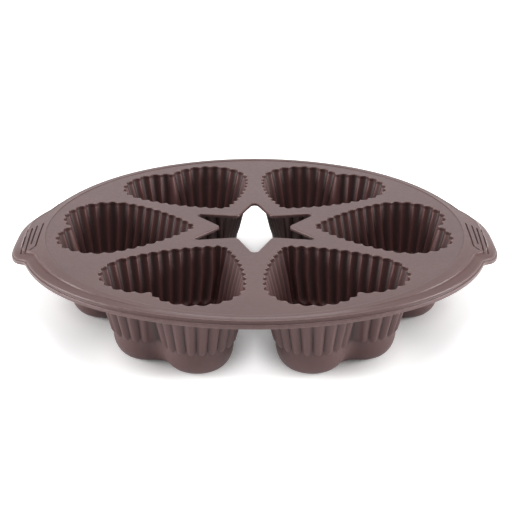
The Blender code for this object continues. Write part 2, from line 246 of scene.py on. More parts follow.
class RimSizes(bpy.types.PropertyGroup):
    """Rim and handles around the web"""

    side_width: length("Side width", "Width of the rim at the sides", 0.0133)
    front_width: length("Front width", "Width of the rim at front and back", 0.0066)
    step: length("Step", "Rise of the rim over the web", 0.0004)
    crease: length("Crease", "Deepest crease between web and rim", 0.00014)
    droop: angle("Droop", "Slope of the rim at the sides", 21.0)
    droop_fade: share("Droop fade", "Fading of the droop to front and back", 2.5)
    border: length("Border", "Width of the sloping border", 0.0046)
    border_share: share("Border share", "Largest part of the rim for the border", 0.44)
    border_slope: angle("Border slope", "Slope of the border under the rim", 18.0)
    bead: length("Bead", "Step along the border's crest", 0.00022)
    corner: length("Corner", "Rounding of the outer corner", 0.0007)
    skirt: length("Skirt", "Height from the border to the lip", 0.0020)
    handle_skirt: length("Handle skirt", "The same height along a handle", 0.0011)
    skirt_full: angle("Skirt full", "Azimuth where the skirt is full", 44.0)
    wall: length("Wall", "Thickness of the skirt", 0.0018)
    lip: length("Lip", "Reach of the lower lip", 0.0009)
    lip_height: length("Lip height", "Height of the lower lip", 0.0021)
    lip_rounding: length("Lip rounding", "Rounding of the lip", 0.0004)
    projection: length("Handle projection", "Reach of a handle past the rim", 0.0052)
    spread: length("Handle spread", "Half length of a handle", 0.0503)
    squareness: share("Handle squareness", "Power of the handle's outline", 3.9)
    root_blend: length("Root blend", "Rounding between handle and rim", 0.0020)
    seam_inset: length("Seam inset", "From a handle's end to its seam", 0.0050)
    groove_width: length("Groove width", "Width of a grip groove", 0.0011)
    groove_depth: length("Groove depth", "Depth of a grip groove", 0.0010)


class Finish(bpy.types.PropertyGroup):
    """Colours and surface of the silicone"""

    light_tint: colour("Light tint", "Lighter tint of the silicone", (0.089, 0.043, 0.041))
    dark_tint: colour("Dark tint", "Darker tint of the silicone", (0.074, 0.035, 0.033))
    # Lighter tint of edges and ridges: partly rubbed silicone, partly a painted highlight.
    rub_and_highlight_tint: colour("Rub and highlight tint", "Tint of rubbed edges and painted highlights", (0.180, 0.110, 0.105))
    # Painted bounce light: a redder, lighter tint on the inside of the cups.
    inner_bounce_tint: colour("Inner bounce tint", "Painted redder bounce light inside the cups", (0.150, 0.058, 0.054))
    inner_bounce_share: share("Inner share", "Strength of the painted inner bounce light", 0.6)
    # Painted shade in the creases between the flutes and in the hollows inside the cups.
    crease_shade_tint: colour("Crease shade tint", "Painted shade between the flutes", (0.022, 0.009, 0.008))
    roughness: share("Roughness", "Mean roughness of the silicone", 0.38)
    cup_roughness: share("Cup roughness", "Roughness added on the cups", 0.14)
    grain: length("Grain", "Height of the fine grain", 0.00006)


class StageSettings(bpy.types.PropertyGroup):
    """Floor, lights and camera"""

    floor_colour: colour("Floor", "Colour of the floor", (0.93, 0.93, 0.93))
    floor_size: length("Floor size", "Side of the floor", 9.0)
    floor_gap: length("Floor gap", "Gap between the cups and the floor", 0.0002)
    # The floor's painted glow: brighter along the middle, weaker around it.
    glow: share("Glow", "Glow of the floor along its middle", 0.84)
    side_glow: share("Side glow", "Glow of the floor around it", 0.54)
    overhead: share("Overhead power", "Watts of the overhead softbox", 13.5)
    side: share("Side power", "Watts of each side softbox", 14.0)
    back: share("Back power", "Watts of the back softbox", 9.8)
    upper: share("Upper power", "Watts of the upper softbox", 27.0)
    sky: share("Sky", "Strength of the pale surroundings", 0.36)
    lens: share("Lens", "Focal length in millimetres", 86.757)
    distance: length("Camera distance", "From the camera to the web's centre", 0.6934)
    elevation: angle("Camera elevation", "Angle of the camera over the table", 21.44)


def arithmetic(operation):
    """Operator of a value that adds a Math node."""
    return lambda value, other: value.make.math(operation, value, other)


class Value:
    """Output of a node that takes part in plain arithmetic."""

    def __init__(self, make, socket):
        self.make = make
        self.socket = socket

    __add__ = arithmetic("ADD")
    __sub__ = arithmetic("SUBTRACT")
    __mul__ = arithmetic("MULTIPLY")
    __truediv__ = arithmetic("DIVIDE")
    __pow__ = arithmetic("POWER")

    def __rsub__(self, other):
        return self.make.math("SUBTRACT", other, self)


class NodeMaker:
    """Adds nodes to a tree and links them."""

    def __init__(self, tree):
        self.tree = tree

    def feed(self, node, inputs):
        """Link a node's inputs to values or set them to plain numbers."""
        for key, value in dict(inputs).items():
            if isinstance(value, Value):
                self.tree.links.new(value.socket, node.inputs[key])
            else:
                node.inputs[key].default_value = value

    def add(self, kind, inputs=(), output=0, **settings):
        """Add a node, set it up, feed its inputs and return one of its outputs."""
        node = self.tree.nodes.new(kind)
        for name, value in settings.items():
            setattr(node, name, value)
        self.feed(node, inputs)
        return Value(self, node.outputs[output])

    def math(self, operation, *values):
        """Result of a Math node."""
        return self.add("ShaderNodeMath", enumerate(values), operation=operation)

    def ramp(self, value, start, end, low, high, shape="LINEAR"):
        """A value taken from one span to another."""
        names = ("Value", "From Min", "From Max", "To Min", "To Max")
        inputs = dict(zip(names, (value, start, end, low, high)))
        return self.add("ShaderNodeMapRange", inputs, interpolation_type=shape)

    def smooth(self, value, span, low, high):
        """A value taken softly from one level to another along a span."""
        return self.ramp(value, *span, low, high, "SMOOTHSTEP")

    def named(self, name, data_type="FLOAT"):
        """Value of a named attribute in a modifier tree."""
        kind = "GeometryNodeInputNamedAttribute"
        return self.add(kind, {"Name": name}, "Attribute", data_type=data_type)


def new_tree(name, numbers, objects=()):
    """Modifier tree with named inputs: objects, numbers and last a material."""
    tree = bpy.data.node_groups.new(name, "GeometryNodeTree")
    face = tree.interface
    face.new_socket("Geometry", in_out="OUTPUT", socket_type="NodeSocketGeometry")
    face.new_socket("Geometry", in_out="INPUT", socket_type="NodeSocketGeometry")
    groups = ((objects, "Object"), (numbers, "Float"), (("Material",), "Material"))
    for labels, kind in groups:
        for label in labels:
            face.new_socket(label, in_out="INPUT", socket_type="NodeSocket" + kind)
    make = NodeMaker(tree)
    outputs = tree.nodes.new("NodeGroupInput").outputs
    return tree, make, {socket.name: Value(make, socket) for socket in outputs}


def end_tree(make, given, geometry, offset, numbers=()):
    """Move the points, store numbers on them, give the material and hand them out."""
    moved = make.add("GeometryNodeSetPosition", {"Geometry": geometry, "Offset": offset})
    for name, value in numbers:
        stored = {"Geometry": moved, "Name": name, "Value": value}
        moved = make.add("GeometryNodeStoreNamedAttribute", stored)
    plain = make.add("GeometryNodeRealizeInstances", {"Geometry": moved})
    dressed = make.add("GeometryNodeSetMaterial", {"Geometry": plain, "Material": given["Material"]})
    make.feed(make.tree.nodes.new("NodeGroupOutput"), {0: dressed})


def flute_tree():
    """Tree that presses flutes with rounded ends into a smooth wall."""
    tree, make, given = new_tree("press flutes", FLUTE_INPUTS)
    across = (make.math("FRACT", make.named("station")) - 0.5) * 2.0
    under = (given["End Level"] - make.named("level")) / given["End Length"]
    under = make.math("MAXIMUM", under, 0.0)
    reach = make.math("SQRT", under ** 2.0 + across * across)
    reach = make.math("MINIMUM", reach, 1.0)
    hollow = make.math("COSINE", reach * (math.pi / 2.0))
    soft = given["Ridge Rounding"]
    low = make.math("SQRT", hollow * hollow + soft * soft)
    high = make.math("SQRT", soft * soft + 1.0)
    hollow = (low - soft) / (high - soft)
    bowl = make.smooth(under, (0.0, 1.0), 0.0, given["Bowl Openness"])
    hollow = make.math("MAXIMUM", hollow, bowl)
    press = (hollow - 1.0) * given["Flute Depth"]
    outward = make.named("outward", "FLOAT_VECTOR")
    offset = make.add("ShaderNodeVectorMath", {0: outward, "Scale": press}, operation="SCALE")
    # Painted highlight, partly rubbing, along the ridges of the flutes, fading where they end.
    ridge_wear_and_highlight = make.math("ABSOLUTE", across) ** RIDGE_HIGHLIGHT_NARROWNESS
    ridge_wear_and_highlight = ridge_wear_and_highlight * (1.0 - make.math("MINIMUM", under, 1.0)) * make.named("fluted")
    edge = make.math("MAXIMUM", make.named("edge"), ridge_wear_and_highlight)
    # Painted shade: darker in the creases between ribs outside and in the hollows inside, stored as
    # crease.
    side = make.named("outer")
    outside = (1.0 - hollow) ** OUTER_SHADE_NARROWNESS * make.math("MAXIMUM", side, 0.0)
    inside = hollow ** INNER_SHADE_NARROWNESS * INNER_SHADE_DARKNESS
    inside = inside * make.math("MAXIMUM", side * -1.0, 0.0)
    numbers = (("edge", edge), ("crease", outside + inside))
    end_tree(make, given, given["Geometry"], offset, numbers)
    return tree


def groove_tree():
    """Tree that sinks narrow grooves along guide lines seen from above."""
    tree, make, given = new_tree("sink grooves", GROOVE_INPUTS, ("Guides",))
    guides = make.add("GeometryNodeObjectInfo", {"Object": given["Guides"]}, "Geometry")
    place = make.add("GeometryNodeInputPosition")
    flat = {name: make.add("ShaderNodeSeparateXYZ", {0: place}, name) for name in "XY"}
    near = make.add(
        "GeometryNodeProximity",
        {"Geometry": guides, "Sample Position": make.add("ShaderNodeCombineXYZ", flat)},
        "Distance",
        target_element="EDGES",
    )
    half = given["Groove Width"] * 0.5
    sunk = make.smooth(near, (half * 0.25, half), 1.0, 0.0) * make.named("panel")
    offset = make.add("ShaderNodeCombineXYZ", {"Z": sunk * given["Groove Depth"] * -1.0})
    end_tree(make, given, given["Geometry"], offset)
    return tree


def apply_tree(item, tree, values):
    """Run a tree on an object with named input values and keep the plain mesh."""
    modifier = item.modifiers.new(tree.name, "NODES")
    modifier.node_group = tree
    for socket in tree.interface.items_tree:
        if socket.in_out == "INPUT" and socket.name in values:
            modifier[socket.identifier] = values[socket.name]
    bpy.context.view_layer.update()
    depsgraph = bpy.context.evaluated_depsgraph_get()
    shaped = bpy.data.meshes.new_from_object(
        item.evaluated_get(depsgraph), preserve_all_data_layers=True, depsgraph=depsgraph
    )
    item.modifiers.clear()
    old = item.data
    item.data = shaped
    bpy.data.meshes.remove(old)
    shaped.name = item.name


class Shell:
    """Points, faces and point attributes of one piece while it is built."""

    def __init__(self):
        self.points = []
        self.faces = []
        names = ("station", "level", "edge", "fluted", "outer", "panel")
        self.values = {name: [] for name in names}
        self.outward = []

    def point(self, place, outward=(0.0, 0.0, 0.0), **values):
        """Add one point and return its number."""
        self.points.append(place)
        self.outward.extend(outward)
        for name, column in self.values.items():
            column.append(values.get(name, 0.0))
        return len(self.points) - 1

    def loft(self, *rings):
        """Join closed rings in their order and return the first and last."""
        for first, second in zip(rings, rings[1:]):
            total = len(first)
            for index in range(total):
                after = (index + 1) % total
                self.faces.append((first[index], first[after], second[after], second[index]))
        return rings[0], rings[-1]

    def fan(self, ring, centre):
        """Close a ring around a centre point."""
        middle = self.point(centre)
        total = len(ring)
        for index in range(total):
            self.faces.append((ring[index], ring[(index + 1) % total], middle))

    def fill(self, outer, holes):
        """Fill the flat area between an outer ring and its holes.

        A triangle that lies in a hole has its corners on that hole's ring and turns
        the same way as the ring when they are taken in the ring's order.
        """
        rings = [outer] + holes
        numbers = [number for ring in rings for number in ring]
        flat = [Vector(self.points[number][:2]) for number in numbers]
        edges = []
        owner = []
        sense = []
        for number, ring in enumerate(rings):
            start = len(owner)
            total = len(ring)
            pairs = [(start + step, start + (step + 1) % total) for step in range(total)]
            edges.extend(pairs)
            owner.extend([number] * total)
            sense.append(sum(flat[first].cross(flat[second]) for first, second in pairs))
        _, _, faces, sources, _, _ = delaunay_2d_cdt(flat, edges, [], 0, 1e-9)
        for face in faces:
            corners = [sources[corner][0] for corner in face]
            first, second, third = sorted(corners)
            number = owner[first]
            if number > 0 and owner[third] == number:
                turn = (flat[second] - flat[first]).cross(flat[third] - flat[first])
                if turn * sense[number] > 0.0:
                    continue
            self.faces.append(tuple(numbers[corner] for corner in corners))

    def make(self, name):
        """Turn the shell into an object with its faces pointing outwards."""
        mesh = bpy.data.meshes.new(name)
        mesh.from_pydata(self.points, [], self.faces)
        for key, column in self.values.items():
            layer = mesh.attributes.new(key, "FLOAT", "POINT")
            layer.data.foreach_set("value", column)
        layer = mesh.attributes.new("outward", "FLOAT_VECTOR", "POINT")
        layer.data.foreach_set("vector", self.outward)
        bm = bmesh.new()
        bm.from_mesh(mesh)
        bmesh.ops.recalc_face_normals(bm, faces=bm.faces)
        bm.to_mesh(mesh)
        bm.free()
        return link_new(name, mesh)


def link_new(name, data):
    """Add an object to the scene."""
    item = bpy.data.objects.new(name, data)
    bpy.context.scene.collection.objects.link(item)
    return item


def finish_piece(item, node):
    """Shade a piece, let it ride on the body and stand for its node."""
    mesh = item.data
    for name in ("station", "level", "fluted", "outward", "panel"):
        mesh.attributes.remove(mesh.attributes[name])
    mesh.shade_smooth()
    mesh.set_sharp_from_angle(angle=SHARP_ANGLE)
    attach(item, "root")
    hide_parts(node)


def fillet(radius, steps):
    """Fall, inset and lightening along a rounded edge, from the face to the side; the lightening is
    partly rubbing and partly a painted highlight.
    """
    rows = []
    for step in range(steps + 1):
        lean = math.pi / 2.0 * step / steps
        fall = radius * (1.0 - math.cos(lean))
        wear_and_highlight = EDGE_WEAR_AND_HIGHLIGHT * math.sin(2.0 * lean)
        rows.append((fall, radius * (1.0 - math.sin(lean)), wear_and_highlight))
    return rows


def cup_turn(number):
    """Angle of a cup round the mould."""
    return math.tau * number / len(CUP_NODES)


def direction(start, end):
    """Angle of the line from one plan point to another, 0 to a full turn."""
    return math.atan2(end.y - start.y, end.x - start.x) % math.tau


def ray_at(turn):
    """Plan vector of length one at an angle."""
    return Vector((math.cos(turn), math.sin(turn)))


def turned(x, y, turn):
    """A plan point turned about the mould's centre."""
    cosine = math.cos(turn)
    sine = math.sin(turn)
    return x * cosine - y * sine, x * sine + y * cosine


def meeting_centre(first, first_reach, second, second_reach):
    """Centre at given distances from two points, on one side of their line."""
    along = second - first
    span = along.length
    forward = (first_reach ** 2 - second_reach ** 2 + span ** 2) / (2.0 * span)
    aside = math.sqrt(first_reach ** 2 - forward ** 2)
    along.normalize()
    return first + along * forward + Vector((-along.y, along.x)) * aside


class HeartPath:
    """Outline of a heart along the channels of its flutes."""

    def __init__(self, sizes, flutes, offset, cleft_radius):
        lobe_radius = sizes.lobe_radius
        flank_radius = sizes.flank_radius
        clearance = lobe_radius + sizes.cup_rib / 2.0
        lobe_out = clearance + sizes.lobe_side * math.cos(HALF_PITCH)
        lobe_out /= math.sin(HALF_PITCH)
        self.tip_out = lobe_out - sizes.tip_reach
        self.axis_out = lobe_out - sizes.axis_inset
        lobe = Vector((lobe_out, sizes.lobe_side))
        top_tip = Vector((self.tip_out + sizes.tip_radius, 0.0))
        reach = lobe_radius + offset + cleft_radius
        cleft = Vector((lobe_out + math.sqrt(reach ** 2 - sizes.lobe_side ** 2), 0.0))
        flank = meeting_centre(
            lobe, flank_radius - lobe_radius, top_tip, flank_radius - sizes.tip_radius
        )
        tip_radius = max(sizes.tip_radius + offset, sizes.least_tip_radius)
        tip_reach = flank_radius + offset - tip_radius
        tip = Vector((flank.x - math.sqrt(tip_reach ** 2 - flank.y ** 2), 0.0))
        cleft_turn = direction(cleft, lobe)
        lobe_start = direction(lobe, cleft) - math.tau
        lobe_end = direction(flank, lobe)
        tip_start = direction(flank, tip)
        # Arcs: centre, radius, radius at the top, first and last angle, side.
        lobe_side = (
            (cleft, cleft_radius, sizes.cleft_radius, math.pi, cleft_turn, -1.0),
            (lobe, lobe_radius + offset, lobe_radius, lobe_start, lobe_end, 1.0),
        )
        flank_side = (
            (flank, flank_radius + offset, flank_radius, lobe_end, tip_start, 1.0),
            (tip, tip_radius, sizes.tip_radius, tip_start, math.pi, 1.0),
        )
        self.sides = ((flutes.lobe_flutes, lobe_side), (flutes.flank_flutes, flank_side))
        self.stops = self.walk(flutes)

    def at(self, station):
        """Point and outward normal at a flute count from the cleft."""
        for flutes, arcs in self.sides:
            if station <= flutes:
                return self.along(arcs, station / flutes)
            station -= flutes

    def along(self, arcs, part):
        """Point and normal at a share of the way along arcs, as long as at the top."""
        lengths = [top_radius * abs(end - start) for _, _, top_radius, start, end, _ in arcs]
        left = part * sum(lengths)
        for span, arc in zip(lengths, arcs):
            if left <= span or arc is arcs[-1]:
                break
            left -= span
        centre, radius, _, start, end, side = arc
        ray = ray_at(start + (end - start) * min(left / span, 1.0))
        return centre + ray * radius, ray * side

    def walk(self, flutes):
        """All stops round the heart: station, point and normal."""
        half = flutes.lobe_flutes + flutes.flank_flutes
        steps = half * flutes.points
        side = []
        for step in range(steps + 1):
            station = step / flutes.points
            place, normal = self.at(station)
            side.append((station, *place, *normal))
        mirrored = [
            (2.0 * half - station, x, -y, across, -along)
            for station, x, y, across, along in reversed(side[1:-1])
        ]
        return side + mirrored

    def ring(self, shell, height, turn, scale=1.0, flare=0.0, fluted=1.0, **values):
        """Add a ring of this heart to a shell, turned round the mould."""
        numbers = []
        for station, x, y, across, along in self.stops:
            out_x = self.axis_out + (x - self.axis_out) * scale + across * flare
            out_y = y * scale + along * flare
            place = (*turned(out_x, out_y, turn), height)
            outward = (*turned(across * scale * fluted, along * scale * fluted, turn), 0.0)
            numbers.append(shell.point(place, outward, station=station, fluted=fluted, **values))
        return numbers


def cup_profile(sizes, flutes, offset, cleft_radius, top, floor, root=0.0):
    """Rings of one skin of a cup from its open top to its floor, not yet placed."""
    draft = math.tan(flutes.draft)
    bowl_top = flutes.bowl_top
    ends = flutes.end_level
    levels = [(top, 0.0)]
    if root > 0.0:
        levels = [(top - fall, flare) for fall, flare, _ in fillet(root, ARC_STEPS)]
    start = levels[-1][0]
    for upper, lower, steps in ((start, ends, WALL_STEPS), (ends, bowl_top, FLUTE_END_STEPS)):
        for step in range(1, steps + 1):
            levels.append((upper + (lower - upper) * step / steps, 0.0))
    rows = [(height, flare, (top - height) * draft) for height, flare in levels]
    for inward, rise, _ in fillet(1.0, BOWL_STEPS)[1:]:
        inset = (top - bowl_top) * draft + flutes.bowl_inset * inward
        rows.append((floor + (bowl_top - floor) * rise, 0.0, inset))
    growth = flutes.cleft_growth
    return [
        (HeartPath(sizes, flutes, offset - inset, cleft_radius + inset * growth), height, flare)
        for height, flare, inset in rows
    ]


def cup_skin(shell, profile, turn, outer):
    """Place one skin of a cup and return its top ring."""
    path, floor, _ = profile[-1]
    rings = [
        ring_path.ring(shell, height, turn, flare=flare, level=height, outer=outer)
        for ring_path, height, flare in profile
    ]
    rings.append(path.ring(shell, floor, turn, scale=FLOOR_RING))
    shell.loft(*rings)
    shell.fan(rings[-1], (*turned(path.axis_out, 0.0, turn), floor))
    return rings[0]


def star_outline(sizes, tip_out):
    """Star outline as points with normals that point into the web."""
    waist = tip_out - sizes.star_rib
    centre = Vector((waist + sizes.star_point - sizes.star_tip, 0.0))
    corner = Vector(turned(waist, 0.0, HALF_PITCH))
    gap = corner - centre
    lean = math.atan2(gap.y, gap.x) - math.acos(sizes.star_tip / gap.length)
    touch = centre + ray_at(lean) * sizes.star_tip
    edge = (touch - corner).normalized()
    half_corner = abs(math.atan2(edge.y, edge.x) - HALF_PITCH)
    middle = corner + ray_at(HALF_PITCH) * (sizes.star_waist / math.sin(half_corner))
    swing = half_corner - math.pi / 2.0
    # Arcs: centre, radius, middle angle, half of the swing, steps and side.
    arcs = (
        (centre, sizes.star_tip, 0.0, lean, STAR_TIP_STEPS, 1.0),
        (middle, sizes.star_waist, HALF_PITCH + math.pi, swing, STAR_WAIST_STEPS, -1.0),
    )
    outline = []
    for number in range(len(CUP_NODES)):
        turn = (2 * number + 1) * HALF_PITCH
        for hub, radius, facing, reach, steps, side in arcs:
            for step in range(-steps, steps + 1):
                ray = ray_at(facing + reach * step / steps)
                normal = ray * side
                place = hub + ray * radius
                outline.append([turned(*spot, turn) for spot in (place, normal)])
    return outline


def circle(shell, radius, height, dip=0.0):
    """Add a circle round the mould's axis, which may dip with the crease."""
    numbers = []
    for index in range(CIRCLE_POINTS):
        turn = math.tau * index / CIRCLE_POINTS
        level = height - dip * crease_share(turn)
        numbers.append(shell.point((radius * math.cos(turn), radius * math.sin(turn), level)))
    return numbers


def outline_ring(shell, outline, offset, height, wear_and_highlight=0.0):
    """Add a ring at an offset from an outline with normals."""
    numbers = []
    for place, normal in outline:
        x = place[0] + normal[0] * offset
        y = place[1] + normal[1] * offset
        numbers.append(shell.point((x, y, height), edge=wear_and_highlight))
    return numbers


class PlanOutline:
    """Outer edge of the rim and handles seen from above."""

    def __init__(self, sizes, rim):
        self.rim = rim
        self.web_radius = sizes.web_radius
        self.web_top = sizes.web_top
        self.half_width = sizes.web_radius + rim.side_width
        self.half_depth = sizes.web_radius + rim.front_width
        self.reach = self.half_width + rim.projection
        self.seam = math.asin((rim.spread - rim.seam_inset) / self.half_width)
        self.slope = math.tan(rim.droop)

    def radius(self, turn):
        """Outer radius at an angle: the rim's ellipse blended with the handles."""
        cosine = abs(math.cos(turn))
        sine = abs(math.sin(turn))
        rim = math.hypot(cosine / self.half_width, sine / self.half_depth) ** -1.0
        power = self.rim.squareness
        tab = (cosine / self.reach) ** power + (sine / self.rim.spread) ** power
        tab = tab ** (-1.0 / power)
        blend = self.rim.root_blend
        near = max(blend - abs(rim - tab), 0.0) / blend
        return max(rim, tab) + near ** 2 * blend / 4.0

    def frame_at(self, turn):
        """Edge point and outward normal at an angle."""
        before, here, after = (
            Vector(turned(self.radius(near), 0.0, near))
            for near in (turn - EDGE_PROBE, turn, turn + EDGE_PROBE)
        )
        along = (after - before).normalized()
        return here, Vector((along.y, -along.x))

    def height(self, place):
        """Height of the upper face, which droops towards the handles."""
        radius = place.length
        past = max(radius - self.web_radius, 0.0)
        sideways = (abs(place.x) / radius) ** self.rim.droop_fade
        return self.web_top + self.rim.step - self.slope * past * sideways

    def skirt(self, turn):
        """Height from the border's edge to the lip."""
        lean = math.asin(abs(math.sin(turn)))
        part = (lean - self.seam) / (self.rim.skirt_full - self.seam)
        part = min(max(part, 0.0), 1.0)
        return self.rim.handle_skirt + (self.rim.skirt - self.rim.handle_skirt) * part


def crease_share(turn):
    """How deep the crease round the web is at an angle, deepest at the back."""
    return 0.5 + 0.5 * math.sin(turn)


def rim_section(plan, turn, panel_rows):
    """Closed section of the rim at one angle: place, lightening of edges (painted highlight, partly
    rubbing) and panel share.
    """
    rim = plan.rim
    edge, normal = plan.frame_at(turn)
    corner = rim.lip + rim.corner
    band = plan.radius(turn) - plan.web_radius - corner
    border = min(rim.border, rim.border_share * band)
    drop = border * math.tan(rim.border_slope)
    edge_height = plan.height(edge - normal * rim.lip) - drop
    sideways = abs(math.cos(turn))
    bead = rim.bead * min(max((sideways - BEAD_START) / BEAD_SPAN, 0.0), 1.0)
    inner = Vector(turned(plan.web_radius, 0.0, turn))
    out = inner.normalized()
    start = inner + out * INNER_ROUNDING
    crest = edge - normal * (corner + border)
    section = []

    def add(place, height, wear_and_highlight=0.0, panel=0.0):
        section.append(((place.x, place.y, height), wear_and_highlight, panel))

    def at_inset(inset, height, wear_and_highlight=0.0):
        add(edge - normal * inset, height, wear_and_highlight)

    # Upper face from the web to the border's crest.
    sunk = rim.step + rim.crease * crease_share(turn)
    for step in range(INNER_STEPS + 1):
        part = step / INNER_STEPS
        place = inner + out * INNER_ROUNDING * part
        lift = 1.0 - math.sqrt(max(1.0 - (1.0 - part) ** 2, 0.0))
        # The rounding by the crease is lightened towards the rim: painted highlight, partly rubbing.
        add(place, plan.height(place) - sunk * lift, CREASE_WEAR_AND_HIGHLIGHT * part)
    for step in range(1, panel_rows):
        place = start.lerp(crest, step / panel_rows)
        add(place, plan.height(place), 0.0, 1.0)
    # Sloping border and outer corner.
    # The crest's lightening is a painted highlight, partly rubbing, that fades towards front and
    # back.
    for part, rise, wear_and_highlight in BORDER_PROFILE:
        place = crest.lerp(edge - normal * corner, part)
        fall = drop * (1.0 - (1.0 - part) ** BORDER_HOLLOW)
        height = plan.height(place) + bead * rise - fall
        panel = 1.0 if part < 0.5 else 0.0
        add(place, height if part < 1.0 else edge_height, wear_and_highlight * sideways, panel)
    for step, (fall, inset, _) in enumerate(fillet(rim.corner, EDGE_STEPS)[1:], 1):
        # Painted highlight, partly rubbing, brightest half way round the corner.
        wear_and_highlight = 1.0 - abs(step - EDGE_STEPS / 2.0) / CORNER_HIGHLIGHT_STEPS
        at_inset(rim.lip + inset, edge_height - fall, wear_and_highlight)
    # Lower lip with a fillet above it.
    lip_top = edge_height - plan.skirt(turn)
    lip_bottom = lip_top - rim.lip_height
    for back, up in LIP_FILLET:
        at_inset(rim.lip - back, lip_top + up)
    # The lip's rounded edges are lightened: painted highlight, partly rubbing.
    for fall, inset, _ in fillet(rim.lip_rounding, ARC_STEPS):
        at_inset(inset, lip_top - fall, LIP_WEAR_AND_HIGHLIGHT)
    for inset, rise, _ in fillet(rim.lip_rounding, ARC_STEPS):
        at_inset(inset, lip_bottom + rise, FOOT_WEAR_AND_HIGHLIGHT)
    # Inside of the skirt and underside.
    thickness = plan.web_top - WEB_BOX[0].z
    under = rim.lip + rim.wall
    at_inset(under - FOOT_BEVEL, lip_bottom)
    at_inset(under, lip_bottom + FOOT_BEVEL)
    shoulder = edge_height + (rim.wall - rim.corner) * math.tan(rim.border_slope) - thickness
    at_inset(under, shoulder - SHOULDER_BEVEL)
    at_inset(under + SHOULDER_BEVEL, shoulder)
    for step in range(ARC_STEPS + 1):
        place = crest.lerp(start, step / ARC_STEPS)
        add(place, plan.height(place) - thickness)
    add(inner, plan.web_top - thickness)
    return section


def sweep_rim(node, plan, start, end, degrees, panel_rows):
    """Sweep the rim's section between two angles into the closed piece of a node."""
    steps = math.ceil(math.degrees(end - start) / degrees)
    shell = Shell()
    rows = []
    for step in range(steps + 1):
        section = rim_section(plan, start + (end - start) * step / steps, panel_rows)
        rows.append([shell.point(place, edge=wear_and_highlight, panel=panel) for place, wear_and_highlight, panel in section])
    shell.loft(*rows)
    shell.faces.append(tuple(rows[0]))
    shell.faces.append(tuple(rows[-1]))
    return shell.make("silicone_" + node)


def new_material(name):
    """Material with a maker of its nodes and its shader."""
    material = bpy.data.materials.new(name)
    material.use_nodes = True
    tree = material.node_tree
    return material, NodeMaker(tree), tree.nodes["Principled BSDF"]


def silicone_material(name, finish):
    """Satin silicone with mottling, grain, edges lighter from rubbing and a painted highlight, and
    painted shade in its creases.

    The cups are more matt than the rest, and painted redder and lighter inside for the light that
    bounces in them.
    """
    material, make, shader = new_material(name)
    place = make.add("ShaderNodeTexCoord", output="Object")

    def noise(scale, detail, roughness, shift):
        moved = {"Vector": place, "Location": (shift, 0.0, 0.0)}
        values = {"Scale": scale, "Detail": detail, "Roughness": roughness}
        values["Vector"] = make.add("ShaderNodeMapping", moved)
        return make.add("ShaderNodeTexNoise", values, "Fac")

    def stored(attribute):
        return make.add("ShaderNodeAttribute", output="Fac", attribute_name=attribute)

    def mixed(factor, first, second):
        colours = {0: factor, 6: first, 7: (*second, 1.0)}
        return make.add("ShaderNodeMix", colours, 2, data_type="RGBA")

    cloud = noise(scale=26.0, detail=3.0, roughness=0.5, shift=0.0)
    mottle = noise(scale=420.0, detail=4.0, roughness=0.6, shift=0.3)
    grain = noise(scale=2600.0, detail=3.0, roughness=0.55, shift=0.7)
    edge_rub_and_highlight = stored("edge")
    side = stored("outer")
    blend = make.ramp(cloud, *NOISE_MIDDLE, 0.0, 0.7)
    blend = blend + make.ramp(mottle, *NOISE_MIDDLE, 0.0, 0.3)
    tint = mixed(blend, (*finish.dark_tint, 1.0), finish.light_tint)
    # Edges and ridges lightened: partly rubbing, partly a painted highlight.
    tint = mixed(edge_rub_and_highlight * make.ramp(mottle, *NOISE_RANGE, 0.15, 0.55), tint, finish.rub_and_highlight_tint)
    # Painted bounce light inside the cups.
    inner = make.math("MAXIMUM", side * -1.0, 0.0)
    tint = mixed(inner * finish.inner_bounce_share, tint, finish.inner_bounce_tint)
    # Painted shade in creases and hollows.
    tint = mixed(stored("crease"), tint, finish.crease_shade_tint)
    middle = finish.roughness
    rough = make.ramp(mottle, *NOISE_RANGE, middle - 0.05, middle + 0.05)
    rough = rough + make.ramp(grain, *NOISE_RANGE, -0.03, 0.03) - edge_rub_and_highlight * 0.06
    rough = rough + make.math("ABSOLUTE", side) * finish.cup_roughness
    wide = {"Height": cloud, "Distance": SWELL, "Strength": 0.12}
    fine = {"Height": grain, "Distance": finish.grain, "Strength": 0.35}
    fine["Normal"] = make.add("ShaderNodeBump", wide)
    looks = {
        "Base Color": tint,
        "Roughness": rough,
        "Normal": make.add("ShaderNodeBump", fine),
        "IOR": REFRACTION,
        "Specular IOR Level": SHINE,
    }
    make.feed(shader, looks)
    material.diffuse_color = (*finish.light_tint, 1.0)
    return material


